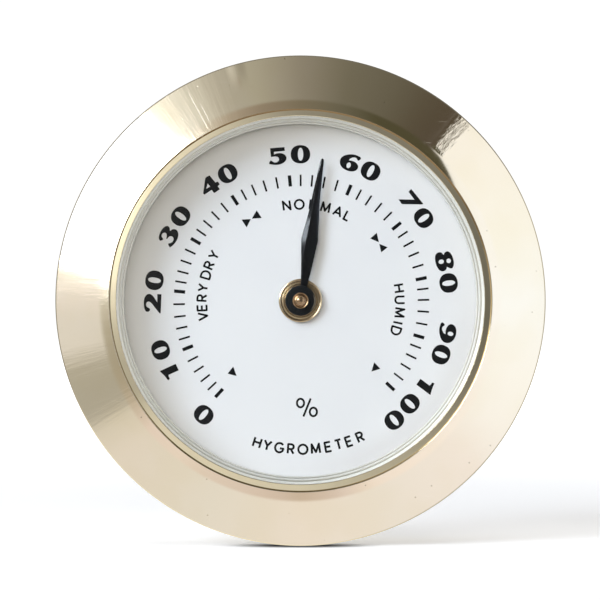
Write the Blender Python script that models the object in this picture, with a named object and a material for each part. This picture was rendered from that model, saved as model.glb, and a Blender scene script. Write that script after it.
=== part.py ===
"""Dial hygrometer for a lid or panel: brass flange, glass, printed dial, and
the coil movement that turns the pointer.

Axes: the dial faces -Y, +Z is the top of the dial, and the pointer turns about
the Y axis.  The origin is on that axis, in the plane of the flange's rear face,
where the flange meets the panel.  Units are metres.
"""

import bpy
import bmesh
from math import cos, pi, radians, sin
from mathutils import Matrix

MM = 0.001

# ---------------------------------------------------------------- dimensions
GAP = 0.30                 # between pieces that rest on or in each other
RUN = 0.10                 # radial running clearance of the arbor

FACE_R = 22.50             # flange, 45 mm across
EDGE_H = 0.60              # height of the flange's outer edge
CREST_Y = -2.60            # foremost plane of the flange
CONE_IN_R = 18.30          # the cone ends here and rolls over
BEZEL_IN_R = 17.54         # inner edge of the flange
LAND_Y = -2.20             # rear of the flange's inward land

CAN_R = 18.30              # barrel, outside
CAN_WALL = 0.50
CAN_FRONT_Y = LAND_Y + GAP
CAN_REAR_Y = 11.90
CAN_LIP = 0.40             # thickness of the barrel's inturned rear lip
CAN_LIP_R = 16.90

STACK_R = CAN_R - CAN_WALL - GAP       # everything that slides into the barrel

RETAINER_IN_R = 16.88
RETAINER_Y = (-2.50, -1.30)
LENS_Y = (-1.00, 0.00)
SPACER_IN_R = 16.29
SPACER_Y = (0.30, 1.90)
DIAL_Y = (2.20, 2.70)
DIAL_HOLE_R = 1.50

BUSH_R = 2.00              # front flange of the dial bushing
BUSH_Y = (1.60, 1.90)
BUSH_SLEEVE_R = 1.20
BUSH_END_Y = 3.60
BUSH_WASHER_Y = (3.00, 3.30)

CHASSIS_Y = (3.00, 4.40)
CHASSIS_HOLE_R = 3.00
SLEEVE_Y = (4.70, 10.30)
SLEEVE_WALL = 0.60

ARBOR_R = 0.42
ARBOR_HEAD_R = 0.73
ARBOR_DOME_R = 0.43
ARBOR_Y = (0.30, 9.30)

POINTER_REST_DEG = 8.84    # clockwise from the top, seen from the front
POINTER_LEN = 13.26
POINTER_HUB_R = 1.39
POINTER_Y = (1.05, 1.30)
POINTER_HOLE_R = ARBOR_R + GAP

COIL_Y = (5.20, 7.30)
COIL_IN_R = 1.65
COIL_OUT_R = 7.35
COIL_TURNS = 6
COIL_T = 0.18
COLLET_R = 1.30
COLLET_Y = (5.00, 7.30)

ARM_Y = (7.60, 7.90)
ARM_W = 1.80
POST_Z = 8.25
POST_R = 0.50

HUB_Y = (8.20, 11.30)      # regulator hub, front face to slotted head
HUB_FLANGE_R = 2.60
HUB_R = 1.60
CLIP_Y = (10.25, 10.55)
BEARING_Y = (8.30, 9.25)

BRIDGE_Y = (8.90, 9.40)
BRIDGE_L = 23.0
BRIDGE_W = 5.0
PILLAR_X = 9.50
PILLAR_R = 1.30
PILLAR_Y = (4.70, 8.60)
SCREW_R = 0.50
SCREW_HEAD_R = 1.00

COVER_Y = (10.60, 11.20)
COVER_HOLE_R = 2.50
VENT_COUNT = 10
VENT_PCD_R = 11.0
VENT_R = 1.10
VENT_L = 4.20

GRIP_R = (18.60, 19.10)
GRIP_Y = (3.20, 6.80)

SEG_FLANGE = 96            # facets around the flange,
SEG_CASE = 64              # around the pieces inside and behind it,
SEG_HUB = 32               # around the pieces at the centre,
SEG_SHAFT = 20             # and around shafts and screws


# ------------------------------------------------------------------- helpers
def clear_scene():
    for ob in list(bpy.data.objects):
        bpy.data.objects.remove(ob, do_unlink=True)


def material(name, colour, roughness, metallic=0.0, alpha=1.0):
    mat = bpy.data.materials.new(name)
    mat.use_nodes = True
    bsdf = mat.node_tree.nodes["Principled BSDF"]
    bsdf.inputs["Base Color"].default_value = (*colour, 1.0)
    bsdf.inputs["Roughness"].default_value = roughness
    bsdf.inputs["Metallic"].default_value = metallic
    bsdf.inputs["Alpha"].default_value = alpha
    return mat


def finish(name, bm, mat, parent=None, sharp=40.0):
    """Make an object from a bmesh, facing out.

    Round pieces are shaded smooth up to the sharp angle; a plate that gets
    cut-outs is shaded flat (sharp=None), so that its faces stay level.
    """
    bmesh.ops.recalc_face_normals(bm, faces=bm.faces)
    mesh = bpy.data.meshes.new(name)
    bm.to_mesh(mesh)
    bm.free()
    if sharp is not None:
        mesh.shade_smooth()
        mesh.set_sharp_from_angle(angle=radians(sharp))
    ob = bpy.data.objects.new(name, mesh)
    bpy.context.collection.objects.link(ob)
    if mat is not None:
        mesh.materials.append(mat)
    if parent is not None:
        ob.parent = parent
    return ob


def turned(profile, segs, closed=True, sweep=2 * pi):
    """Spin a profile of (radius, y) points about Y.

    A closed profile makes a ring.  An open one starts and ends on the axis and
    makes a solid of revolution.
    """
    bm = bmesh.new()
    verts = [bm.verts.new((r * MM, y * MM, 0.0)) for r, y in profile]
    edges = [bm.edges.new((a, b)) for a, b in zip(verts, verts[1:])]
    if closed:
        edges.append(bm.edges.new((verts[-1], verts[0])))
    full = abs(sweep - 2 * pi) < 1e-9
    bmesh.ops.spin(bm, geom=verts + edges, cent=(0, 0, 0), axis=(0, 1, 0),
                   angle=sweep, steps=segs, use_merge=full)
    if not full:
        # the two open ends of a part turn are filled
        bmesh.ops.holes_fill(bm, edges=[e for e in bm.edges if e.is_boundary])
    bmesh.ops.remove_doubles(bm, verts=bm.verts, dist=1e-7)
    return bm


def ring(r_in, r_out, y0, y1, segs, chamfer=0.0):
    c = chamfer
    if c:
        prof = [(r_out, y0 + c), (r_out, y1 - c), (r_out - c, y1), (r_in + c, y1),
                (r_in, y1 - c), (r_in, y0 + c), (r_in + c, y0), (r_out - c, y0)]
    else:
        prof = [(r_out, y0), (r_out, y1), (r_in, y1), (r_in, y0)]
    return turned(prof, segs)


def disc(r, y0, y1, segs, chamfer=0.0):
    c = chamfer
    prof = [(0, y0), (r - c, y0)]
    if c:
        prof += [(r, y0 + c), (r, y1 - c)]
    else:
        prof += [(r, y1)]
    prof += [(r - c, y1), (0, y1)] if c else [(0, y1)]
    return turned(prof, segs, closed=False)


def shift(bm, x=0.0, y=0.0, z=0.0):
    bmesh.ops.translate(bm, verts=bm.verts, vec=(x * MM, y * MM, z * MM))
    return bm


def box(x0, x1, y0, y1, z0, z1):
    bm = bmesh.new()
    bmesh.ops.create_cube(bm, size=1.0)
    bmesh.ops.scale(bm, verts=bm.verts,
                    vec=((x1 - x0) * MM, (y1 - y0) * MM, (z1 - z0) * MM))
    return shift(bm, (x0 + x1) / 2, (y0 + y1) / 2, (z0 + z1) / 2)


def outline(points, y0, y1):
    """Extrude a flat outline of (x, z) points from y0 to y1."""
    bm = bmesh.new()
    face = bm.faces.new([bm.verts.new((x * MM, y0 * MM, z * MM)) for x, z in points])
    out = bmesh.ops.extrude_face_region(bm, geom=[face])
    moved = [v for v in out["geom"] if isinstance(v, bmesh.types.BMVert)]
    bmesh.ops.translate(bm, verts=moved, vec=(0, (y1 - y0) * MM, 0))
    return bm


def cutter(ob):
    ob.hide_render = True
    ob.display_type = "WIRE"
    return ob


def boolean(target, other, operation):
    mod = target.modifiers.new(operation.lower(), "BOOLEAN")
    mod.operation = operation
    mod.solver = "EXACT"
    mod.object = other


def cut(target, name, bm):
    boolean(target, cutter(finish(name, bm, None, target.parent)), "DIFFERENCE")


# ---------------------------------------------------------------- materials
clear_scene()

BRASS = material("brass_satin", (0.80, 0.72, 0.54), 0.30, 1.0)
BRASS_BRIGHT = material("brass_bright", (0.83, 0.70, 0.42), 0.22, 1.0)
GLASS = material("clear_glass", (0.95, 0.97, 0.97), 0.03, 0.0, 0.25)
WHITE = material("white_plastic", (0.82, 0.83, 0.83), 0.45)
DIAL = material("dial_white", (0.80, 0.84, 0.86), 0.50)
BLACK = material("pointer_black", (0.02, 0.02, 0.022), 0.40)
DARK = material("black_plastic", (0.03, 0.03, 0.032), 0.50)
STEEL = material("steel", (0.62, 0.62, 0.60), 0.32, 1.0)
COIL = material("coil_strip", (0.55, 0.42, 0.28), 0.45, 0.6)
RUBBER = material("rubber", (0.04, 0.04, 0.04), 0.85)

# ------------------------------------------------------------- front of case
# flange: flat rear seat, small upright edge, cone, rolled crest, inward land
edge_y = -EDGE_H
bezel_profile = [
    (FACE_R - 0.12, 0.0),
    (FACE_R, -0.12),
    (FACE_R, edge_y + 0.12),
    (FACE_R - 0.05, edge_y),
    (FACE_R - 0.20, edge_y - 0.09),
]
slope = (CREST_Y + 0.10 - bezel_profile[-1][1]) / (CONE_IN_R - bezel_profile[-1][0])
bezel_profile.append((CONE_IN_R, CREST_Y + 0.10))
bezel_profile += [
    (CONE_IN_R - 0.25, CREST_Y + 0.02),
    (CONE_IN_R - 0.45, CREST_Y),
    (BEZEL_IN_R + 0.09, CREST_Y + 0.05),
    (BEZEL_IN_R, CREST_Y + 0.15),
    (BEZEL_IN_R, LAND_Y),
    (CAN_R + GAP, LAND_Y),
    (CAN_R + GAP, 0.0),
]
finish("bezel", turned(bezel_profile, SEG_FLANGE), BRASS, sharp=30)

# retainer: brass ring that holds the glass; its narrow front lip comes up
# inside the flange, sloping a little outward
finish("lens_retainer", turned([
    (STACK_R, LAND_Y + GAP),
    (STACK_R, RETAINER_Y[1]),
    (RETAINER_IN_R, RETAINER_Y[1]),
    (RETAINER_IN_R, RETAINER_Y[0] + 0.06),
    (RETAINER_IN_R + 0.07, RETAINER_Y[0]),
    (BEZEL_IN_R - GAP, RETAINER_Y[0] + 0.06),
    (BEZEL_IN_R - GAP, LAND_Y + GAP),
], SEG_CASE), BRASS, sharp=30)

finish("lens", disc(STACK_R, LENS_Y[0], LENS_Y[1], SEG_CASE, 0.12), GLASS)

# spacer between glass and dial, with two small steps on its inner face
finish("dial_spacer_ring", turned([
    (STACK_R, SPACER_Y[0]),
    (STACK_R, SPACER_Y[1]),
    (SPACER_IN_R, SPACER_Y[1]),
    (SPACER_IN_R, SPACER_Y[0] + 0.90),
    (SPACER_IN_R + 0.26, SPACER_Y[0] + 0.70),
    (SPACER_IN_R + 0.26, SPACER_Y[0] + 0.35),
    (SPACER_IN_R + 0.55, SPACER_Y[0]),
], SEG_CASE), WHITE, sharp=30)

finish("dial_plate", ring(DIAL_HOLE_R, STACK_R, DIAL_Y[0], DIAL_Y[1], SEG_CASE), DIAL)

# bushing: flanged brass eyelet through the dial, the arbor's front bearing
bore = ARBOR_R + RUN
finish("dial_bushing", turned([
    (BUSH_R, BUSH_Y[0] + 0.20),
    (BUSH_R, BUSH_Y[1]),
    (BUSH_SLEEVE_R, BUSH_Y[1]),
    (BUSH_SLEEVE_R, BUSH_END_Y),
    (bore, BUSH_END_Y),
    (bore, BUSH_Y[0]),
    (1.50, BUSH_Y[0]),
    (1.62, BUSH_Y[0] + 0.10),
    (1.74, BUSH_Y[0]),
    (1.86, BUSH_Y[0] + 0.03),
], SEG_HUB), BRASS_BRIGHT, sharp=25)

finish("bushing_washer",
       ring(BUSH_SLEEVE_R + GAP, 2.50, BUSH_WASHER_Y[0], BUSH_WASHER_Y[1], SEG_SHAFT), BRASS_BRIGHT)

# ------------------------------------------------------------- case and back
finish("case_barrel", turned([
    (CAN_R, CAN_FRONT_Y),
    (CAN_R, CAN_REAR_Y - 0.30),
    (CAN_R - 0.30, CAN_REAR_Y),
    (CAN_LIP_R, CAN_REAR_Y),
    (CAN_LIP_R, CAN_REAR_Y - CAN_LIP),
    (CAN_R - CAN_WALL, CAN_REAR_Y - CAN_LIP),
    (CAN_R - CAN_WALL, CAN_FRONT_Y),
], SEG_CASE), BRASS)

finish("grip_ring", ring(GRIP_R[0], GRIP_R[1], GRIP_Y[0], GRIP_Y[1], SEG_CASE), RUBBER)

chassis = finish("chassis_plate",
                 ring(CHASSIS_HOLE_R, STACK_R, CHASSIS_Y[0], CHASSIS_Y[1], SEG_CASE), DARK,
                 sharp=None)
for side, sx in (("left", -1), ("right", 1)):
    x = sx * PILLAR_X
    cut(chassis, f"cut_counterbore_{side}",
        shift(disc(SCREW_HEAD_R + GAP, CHASSIS_Y[0] - 0.5, CHASSIS_Y[0] + 0.70, SEG_SHAFT), x=x))
    cut(chassis, f"cut_clearance_{side}",
        shift(disc(SCREW_R + GAP, CHASSIS_Y[0] + 0.2, CHASSIS_Y[1] + 0.5, SEG_SHAFT), x=x))

finish("rear_spacer_sleeve",
       ring(STACK_R - SLEEVE_WALL, STACK_R, SLEEVE_Y[0], SLEEVE_Y[1], SEG_CASE), DARK)

# back cover: disc with a ring of round-ended vents and the adjuster's hole
cover = finish("back_cover",
               ring(COVER_HOLE_R, STACK_R, COVER_Y[0], COVER_Y[1], SEG_CASE), DARK,
               sharp=None)
for i in range(VENT_COUNT):
    half = (VENT_L / 2 - VENT_R)
    pts = []
    for end, start in ((1, -90), (-1, 90)):
        for k in range(9):
            a = radians(start + 180 * k / 8)
            pts.append((end * half + VENT_R * cos(a), VENT_PCD_R + VENT_R * sin(a)))
    slot = outline(pts, COVER_Y[0] - 1.0, COVER_Y[1] + 1.0)
    bmesh.ops.rotate(slot, verts=slot.verts, cent=(0, 0, 0),
                     matrix=Matrix.Rotation(2 * pi * i / VENT_COUNT, 3, "Y"))
    cut(cover, f"cut_vent_{i}", slot)

# ------------------------------------------------------ movement, fixed part
for side, sx in (("left", -1), ("right", 1)):
    x = sx * PILLAR_X
    pillar = finish(f"pillar_{side}",
                    shift(disc(PILLAR_R, PILLAR_Y[0], PILLAR_Y[1], SEG_SHAFT), x=x), BRASS_BRIGHT)
    cut(pillar, f"cut_tapping_front_{side}",
        shift(disc(SCREW_R + GAP, PILLAR_Y[0] - 0.5, PILLAR_Y[0] + 1.3, SEG_SHAFT), x=x))
    cut(pillar, f"cut_tapping_rear_{side}",
        shift(disc(SCREW_R + GAP, PILLAR_Y[1] - 1.8, PILLAR_Y[1] + 0.5, SEG_SHAFT), x=x))

    # chassis screw, head forward under the dial
    y_head = CHASSIS_Y[0] + 0.02
    screw = finish(f"chassis_screw_{side}", shift(turned([
        (0, y_head), (SCREW_HEAD_R - 0.12, y_head), (SCREW_HEAD_R, y_head + 0.10),
        (SCREW_HEAD_R, y_head + 0.38), (SCREW_R, y_head + 0.38),
        (SCREW_R, PILLAR_Y[0] + 0.85), (SCREW_R - 0.12, PILLAR_Y[0] + 1.0),
        (0, PILLAR_Y[0] + 1.0)], SEG_SHAFT, closed=False), x=x), STEEL)
    cut(screw, f"cut_slot_front_{side}",
        box(x - 1.4, x + 1.4, y_head - 0.5, y_head + 0.18, -0.14, 0.14))

    # bridge screw, head to the rear
    y_seat = BRIDGE_Y[1] + GAP
    screw = finish(f"bridge_screw_{side}", shift(turned([
        (0, PILLAR_Y[1] - 1.5), (SCREW_R - 0.12, PILLAR_Y[1] - 1.5),
        (SCREW_R, PILLAR_Y[1] - 1.35), (SCREW_R, y_seat), (SCREW_HEAD_R, y_seat),
        (SCREW_HEAD_R, y_seat + 0.42), (SCREW_HEAD_R - 0.12, y_seat + 0.52),
        (0, y_seat + 0.52)], SEG_SHAFT, closed=False), x=x), STEEL)
    cut(screw, f"cut_slot_rear_{side}",
        box(x - 1.4, x + 1.4, y_seat + 0.28, y_seat + 1.0, -0.14, 0.14))

# bridge: round-ended strap carrying the regulator
pts = []
for end, start in ((1, -90), (-1, 90)):
    for k in range(13):
        a = radians(start + 180 * k / 12)
        pts.append((end * (BRIDGE_L - BRIDGE_W) / 2 + BRIDGE_W / 2 * cos(a),
                    BRIDGE_W / 2 * sin(a)))
bridge = finish("movement_bridge", outline(pts, *BRIDGE_Y), BRASS_BRIGHT, sharp=None)
cut(bridge, "cut_bridge_centre",
    disc(HUB_R + GAP, BRIDGE_Y[0] - 0.5, BRIDGE_Y[1] + 0.5, SEG_HUB))
for side, sx in (("left", -1), ("right", 1)):
    cut(bridge, f"cut_bridge_{side}",
        shift(disc(SCREW_R + GAP, BRIDGE_Y[0] - 0.5, BRIDGE_Y[1] + 0.5, SEG_SHAFT),
              x=sx * PILLAR_X))

# ------------------------------------------------------ regulator, adjustable
regulator_axis = bpy.data.objects.new("regulator_axis", None)
regulator_axis.location = (0, HUB_Y[0] * MM, 0)
bpy.context.collection.objects.link(regulator_axis)


def on_axis(ob, empty):
    """Parent a piece to an empty on the joint's axis, leaving it in place."""
    ob.parent = empty
    ob.location = (0, -empty.location.y, 0)
    return ob


# hub: front flange, shaft through the bridge, clip groove, slotted head
hub = on_axis(finish("regulator_hub", turned([
    (0, BEARING_Y[1] + 0.35), (1.20, BEARING_Y[1] + 0.35),
    (1.20, HUB_Y[0]), (HUB_FLANGE_R, HUB_Y[0]),
    (HUB_FLANGE_R, HUB_Y[0] + 0.40), (HUB_R, HUB_Y[0] + 0.40),
    (HUB_R, CLIP_Y[0] - GAP), (1.0, CLIP_Y[0] - GAP),
    (1.0, CLIP_Y[1] + GAP), (HUB_R, CLIP_Y[1] + GAP),
    (HUB_R, HUB_Y[1] - 0.10), (HUB_R - 0.10, HUB_Y[1]),
    (0, HUB_Y[1])], SEG_HUB, closed=False), BRASS_BRIGHT), regulator_axis)
slot = cutter(on_axis(finish("cut_driver_slot",
                             box(-2.5, 2.5, HUB_Y[1] - 0.28, HUB_Y[1] + 0.5, -0.20, 0.20),
                             None), regulator_axis))
boolean(hub, slot, "DIFFERENCE")

on_axis(finish("rear_bearing",
               ring(bore, 0.90, BEARING_Y[0], BEARING_Y[1], SEG_SHAFT), STEEL), regulator_axis)
on_axis(finish("friction_washer",
               ring(HUB_R + GAP, 3.00, BRIDGE_Y[1] + GAP, BRIDGE_Y[1] + GAP + 0.22, SEG_HUB),
               STEEL), regulator_axis)

# open clip in the groove
on_axis(finish("retaining_clip", turned([
    (2.20, CLIP_Y[0]), (2.20, CLIP_Y[1]), (1.30, CLIP_Y[1]), (1.30, CLIP_Y[0])],
    24, sweep=radians(300)), STEEL), regulator_axis)

# arm: lever from the hub to the coil's outer anchor
pts = []
turn = 20
half_w = ARM_W / 2
root_a = pi / 2 - 0.355            # where the lever leaves the round root
for k in range(turn + 1):
    a = root_a - (2 * pi - 2 * (pi / 2 - root_a)) * k / turn
    pts.append((HUB_FLANGE_R * cos(a), HUB_FLANGE_R * sin(a)))
tip = POST_Z
for k in range(9):
    a = pi - pi * k / 8
    pts.append((half_w * cos(a), tip + half_w * sin(a)))
arm = on_axis(finish("regulator_arm", outline(pts, *ARM_Y), BRASS_BRIGHT, sharp=None),
              regulator_axis)
arm_hole = cutter(on_axis(finish("cut_arm_hole", disc(0.90, ARM_Y[0] - 0.5, ARM_Y[1] + 0.5, SEG_SHAFT),
                                 None), regulator_axis))
boolean(arm, arm_hole, "DIFFERENCE")

on_axis(finish("coil_anchor_post",
               shift(disc(POST_R, COIL_Y[0] - 0.2, ARM_Y[0] - GAP, SEG_SHAFT, 0.06), z=POST_Z),
               STEEL), regulator_axis)

# ------------------------------------------------------------ pointer, turning
pointer_axis = bpy.data.objects.new("pointer_axis", None)
pointer_axis.location = (0, POINTER_Y[1] * MM, 0)
pointer_axis.rotation_euler = (0, radians(POINTER_REST_DEG), 0)
bpy.context.collection.objects.link(pointer_axis)

# arbor: domed head, collar over the pointer, shaft into the rear bearing
dome = [(ARBOR_DOME_R * sin(radians(a)), ARBOR_Y[0] + 0.25 * (1 - cos(radians(a))))
        for a in (0, 25, 50, 72, 90)]
on_axis(finish("arbor", turned(dome + [
    (ARBOR_HEAD_R - 0.08, 0.55), (ARBOR_HEAD_R, 0.62), (ARBOR_HEAD_R, 0.75),
    (ARBOR_R, 0.75), (ARBOR_R, ARBOR_Y[1] - 0.15), (ARBOR_R - 0.15, ARBOR_Y[1]),
    (0, ARBOR_Y[1])], SEG_SHAFT, closed=False), BRASS_BRIGHT), pointer_axis)

# pointer: round boss and a creased lance, one stamping
boss = on_axis(finish("pointer", ring(POINTER_HOLE_R, POINTER_HUB_R,
                                      POINTER_Y[0], POINTER_Y[1], SEG_HUB), BLACK), pointer_axis)
stations = [(1.00, 0.31), (2.00, 0.40), (3.20, 0.53), (4.40, 0.66), (5.50, 0.73),
            (6.60, 0.66), (8.20, 0.49), (10.1, 0.33), (12.0, 0.20), (12.9, 0.15),
            (POINTER_LEN, 0.06)]
lance = bmesh.new()
rows = []
for s, w in stations:
    crest = POINTER_Y[0] + 0.02
    eave = POINTER_Y[1] - 0.10
    back = POINTER_Y[1] - 0.01
    ridge = min(eave - 0.02, crest + max(0.0, (s - 11.0)) * 0.03)
    rows.append([lance.verts.new((x * MM, y * MM, s * MM)) for x, y in
                 ((-w, back), (-w, eave), (0.0, ridge), (w, eave), (w, back))])
for a, b in zip(rows, rows[1:]):
    for k in range(5):
        lance.faces.new((a[k], a[(k + 1) % 5], b[(k + 1) % 5], b[k]))
lance.faces.new(rows[0])
lance.faces.new(list(reversed(rows[-1])))
blade = cutter(on_axis(finish("cut_join_lance", lance, None), pointer_axis))
boolean(boss, blade, "UNION")

# collet on the arbor and the spiral strip that it carries
on_axis(finish("coil_collet", ring(ARBOR_R + GAP, COLLET_R, COLLET_Y[0], COLLET_Y[1], SEG_SHAFT),
               BRASS_BRIGHT), pointer_axis)

coil = bmesh.new()
steps = COIL_TURNS * 26
rows = []
# the strip winds out from the collet and ends straight above, under the post
end_a = pi / 2 + radians(POINTER_REST_DEG)
for i in range(steps + 1):
    t = i / steps
    a = end_a - 2 * pi * COIL_TURNS * (1 - t)
    r = COIL_IN_R + (COIL_OUT_R - COIL_IN_R) * t
    rows.append([coil.verts.new((rr * cos(a) * MM, y * MM, rr * sin(a) * MM))
                 for rr, y in ((r, COIL_Y[0]), (r + COIL_T, COIL_Y[0]),
                               (r + COIL_T, COIL_Y[1]), (r, COIL_Y[1]))])
for a, b in zip(rows, rows[1:]):
    for k in range(4):
        coil.faces.new((a[k], a[(k + 1) % 4], b[(k + 1) % 4], b[k]))
coil.faces.new(rows[0])
coil.faces.new(list(reversed(rows[-1])))
on_axis(finish("humidity_coil", coil, COIL), pointer_axis)
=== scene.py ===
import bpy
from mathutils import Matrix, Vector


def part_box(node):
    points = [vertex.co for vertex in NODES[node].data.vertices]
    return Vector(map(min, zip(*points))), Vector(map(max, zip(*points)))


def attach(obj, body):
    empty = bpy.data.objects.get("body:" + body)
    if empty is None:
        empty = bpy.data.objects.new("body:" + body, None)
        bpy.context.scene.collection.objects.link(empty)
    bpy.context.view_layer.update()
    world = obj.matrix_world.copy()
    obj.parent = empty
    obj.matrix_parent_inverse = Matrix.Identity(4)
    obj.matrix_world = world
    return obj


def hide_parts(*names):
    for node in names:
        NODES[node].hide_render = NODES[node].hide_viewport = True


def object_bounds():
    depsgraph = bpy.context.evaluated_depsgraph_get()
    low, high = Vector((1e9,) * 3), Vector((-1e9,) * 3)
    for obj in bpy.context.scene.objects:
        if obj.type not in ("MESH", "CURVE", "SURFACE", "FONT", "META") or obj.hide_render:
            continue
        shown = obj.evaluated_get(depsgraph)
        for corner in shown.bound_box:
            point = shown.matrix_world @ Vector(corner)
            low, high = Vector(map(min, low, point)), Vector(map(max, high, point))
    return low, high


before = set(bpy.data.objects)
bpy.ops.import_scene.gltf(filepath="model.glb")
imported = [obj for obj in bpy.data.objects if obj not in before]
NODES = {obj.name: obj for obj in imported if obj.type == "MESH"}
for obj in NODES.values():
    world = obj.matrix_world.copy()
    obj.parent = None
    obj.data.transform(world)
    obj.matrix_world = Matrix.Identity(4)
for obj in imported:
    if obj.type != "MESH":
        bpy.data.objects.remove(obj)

"""Looks of the dial hygrometer: fine turned rings, printed dial, creased pointer
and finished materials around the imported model.  Metres; the dial faces -Y."""

import math
import bpy
import bmesh
from math import cos, sin, pi, radians, sqrt, atan2
from mathutils import Vector, Matrix
from mathutils.geometry import delaunay_2d_cdt

CAD_LO, CAD_HI = [list(v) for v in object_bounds()]

MM = 0.001
REST = radians(8.84)                 # the pointer's place at rest, clockwise

# where the CAD says things are
bez_lo, bez_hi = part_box("bezel")
FACE_R = bez_hi.x / MM
CREST_Y = bez_lo.y / MM
DIAL_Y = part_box("dial_plate")[0].y / MM
LENS_Y0, LENS_Y1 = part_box("lens")[0].y / MM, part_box("lens")[1].y / MM
STACK_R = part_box("lens")[1].x / MM
LIP_Y0, LIP_Y1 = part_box("lens_retainer")[0].y / MM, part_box("lens_retainer")[1].y / MM
SPACER_Y0, SPACER_Y1 = (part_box("dial_spacer_ring")[0].y / MM,
                        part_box("dial_spacer_ring")[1].y / MM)
BUSH_Y0, BUSH_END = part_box("dial_bushing")[0].y / MM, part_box("dial_bushing")[1].y / MM
POINTER_Y0, POINTER_Y1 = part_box("pointer")[0].y / MM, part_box("pointer")[1].y / MM
ARBOR_Y0, ARBOR_Y1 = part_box("arbor")[0].y / MM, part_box("arbor")[1].y / MM
CAN_LO, CAN_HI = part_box("case_barrel")
CAN_R = CAN_HI.x / MM
GRIP_LO, GRIP_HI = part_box("grip_ring")


RING_X, RING_Z = -0.04, 0.04         # the rings sit a hair off the pointer's axis


# ------------------------------------------------------------------ geometry
def add(name, bm, mat, body, replaces=(), sharp=35.0, smooth=True):
    mesh = bpy.data.meshes.new(name)
    bm.to_mesh(mesh)
    bm.free()
    if smooth:
        mesh.shade_smooth()
        mesh.set_sharp_from_angle(angle=radians(sharp))
    ob = bpy.data.objects.new(name, mesh)
    bpy.context.scene.collection.objects.link(ob)
    mesh.materials.append(mat)
    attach(ob, body)
    if replaces:
        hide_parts(*replaces)
    return ob


def fillet(points, n=4):
    """Round the corners of a closed profile: each point is (r, y, radius)."""
    out = []
    m = len(points)
    for i, (r, y, rad) in enumerate(points):
        p = Vector((r, y))
        a = Vector(points[i - 1][:2]) - p
        b = Vector(points[(i + 1) % m][:2]) - p
        la, lb = a.length, b.length
        if rad <= 0 or la < 1e-9 or lb < 1e-9:
            out.append((r, y))
            continue
        a.normalize(); b.normalize()
        ang = a.angle(b)
        if ang > pi - 1e-3:
            out.append((r, y))
            continue
        cut = min(rad / math.tan(ang / 2), la * 0.48, lb * 0.48)
        rr = cut * math.tan(ang / 2)
        centre = p + (a + b).normalized() * (rr / sin(ang / 2))
        s = p + a * cut - centre
        e = p + b * cut - centre
        total = s.angle_signed(e) if s.length > 0 and e.length > 0 else 0.0
        for k in range(n + 1):
            t = -total * k / n
            out.append((centre.x + s.x * cos(t) - s.y * sin(t),
                        centre.y + s.x * sin(t) + s.y * cos(t)))
    return out


def revolve(profile, segs, closed=True, cx=0.0, cz=0.0):
    """Turned body about Y (mm in, metres out). Open profiles end on the axis."""
    bm = bmesh.new()
    rings = []
    for r, y in profile:
        if not closed and r < 1e-7:
            rings.append([bm.verts.new((cx * MM, y * MM, cz * MM))])
        else:
            rings.append([bm.verts.new(((cx + r * sin(2 * pi * k / segs)) * MM, y * MM,
                                        (cz + r * cos(2 * pi * k / segs)) * MM))
                          for k in range(segs)])
    pairs = list(zip(rings, rings[1:]))
    if closed:
        pairs.append((rings[-1], rings[0]))
    for a, b in pairs:
        for k in range(segs):
            k2 = (k + 1) % segs
            if len(a) == 1 and len(b) == 1:
                continue
            if len(a) == 1:
                bm.faces.new((a[0], b[k2], b[k]))
            elif len(b) == 1:
                bm.faces.new((a[k], a[k2], b[0]))
            else:
                bm.faces.new((a[k], a[k2], b[k2], b[k]))
    bmesh.ops.recalc_face_normals(bm, faces=bm.faces)
    return bm


# --------------------------------------------------------------- flat printing
def ccw(poly):
    area = sum(a[0] * b[1] - b[0] * a[1] for a, b in zip(poly, poly[1:] + poly[:1]))
    return poly if area > 0 else list(reversed(poly))


def union_faces(solid, holes=()):
    """Triangles of the union of the solid polygons, less the holes."""
    verts, faces = [], []
    for poly in list(solid) + list(holes):
        poly = ccw([tuple(p) for p in poly])
        base = len(verts)
        verts += [Vector(p) for p in poly]
        faces.append(list(range(base, base + len(poly))))
    v, _, f, _, _, of = delaunay_2d_cdt(verts, [], faces, 0, 1e-7, True)
    n = len(solid)
    keep = [face for face, src in zip(f, of)
            if any(s < n for s in src) and not any(s >= n for s in src)]
    return v, keep


def ink_bmesh(groups, top_y, bottom_y):
    """One thin raised body per group of ((solid, holes), place) outlines."""
    bm = bmesh.new()
    for (solid, holes), place in groups:
        v, tris = union_faces(solid, holes)
        made = {}
        for t in tris:
            for i in t:
                if i not in made:
                    x, z = place(v[i].x, v[i].y)
                    made[i] = bm.verts.new((x * MM, top_y * MM, z * MM))
        faces = []
        for t in tris:
            try:
                faces.append(bm.faces.new([made[i] for i in t]))
            except ValueError:
                pass
        bmesh.ops.dissolve_limit(bm, angle_limit=radians(1), use_dissolve_boundaries=False,
                                 verts=list({x for f in faces for x in f.verts}),
                                 edges=list({e for f in faces for e in f.edges}))
    top = list(bm.faces)
    for f in top:
        f.normal_update()
        if f.normal.y > 0:
            f.normal_flip()
    ext = bmesh.ops.extrude_face_region(bm, geom=top, use_keep_orig=True)
    low = [e for e in ext["geom"] if isinstance(e, bmesh.types.BMVert)]
    for vert in low:
        vert.co.y = bottom_y * MM
    bmesh.ops.recalc_face_normals(bm, faces=bm.faces)
    return bm


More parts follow.
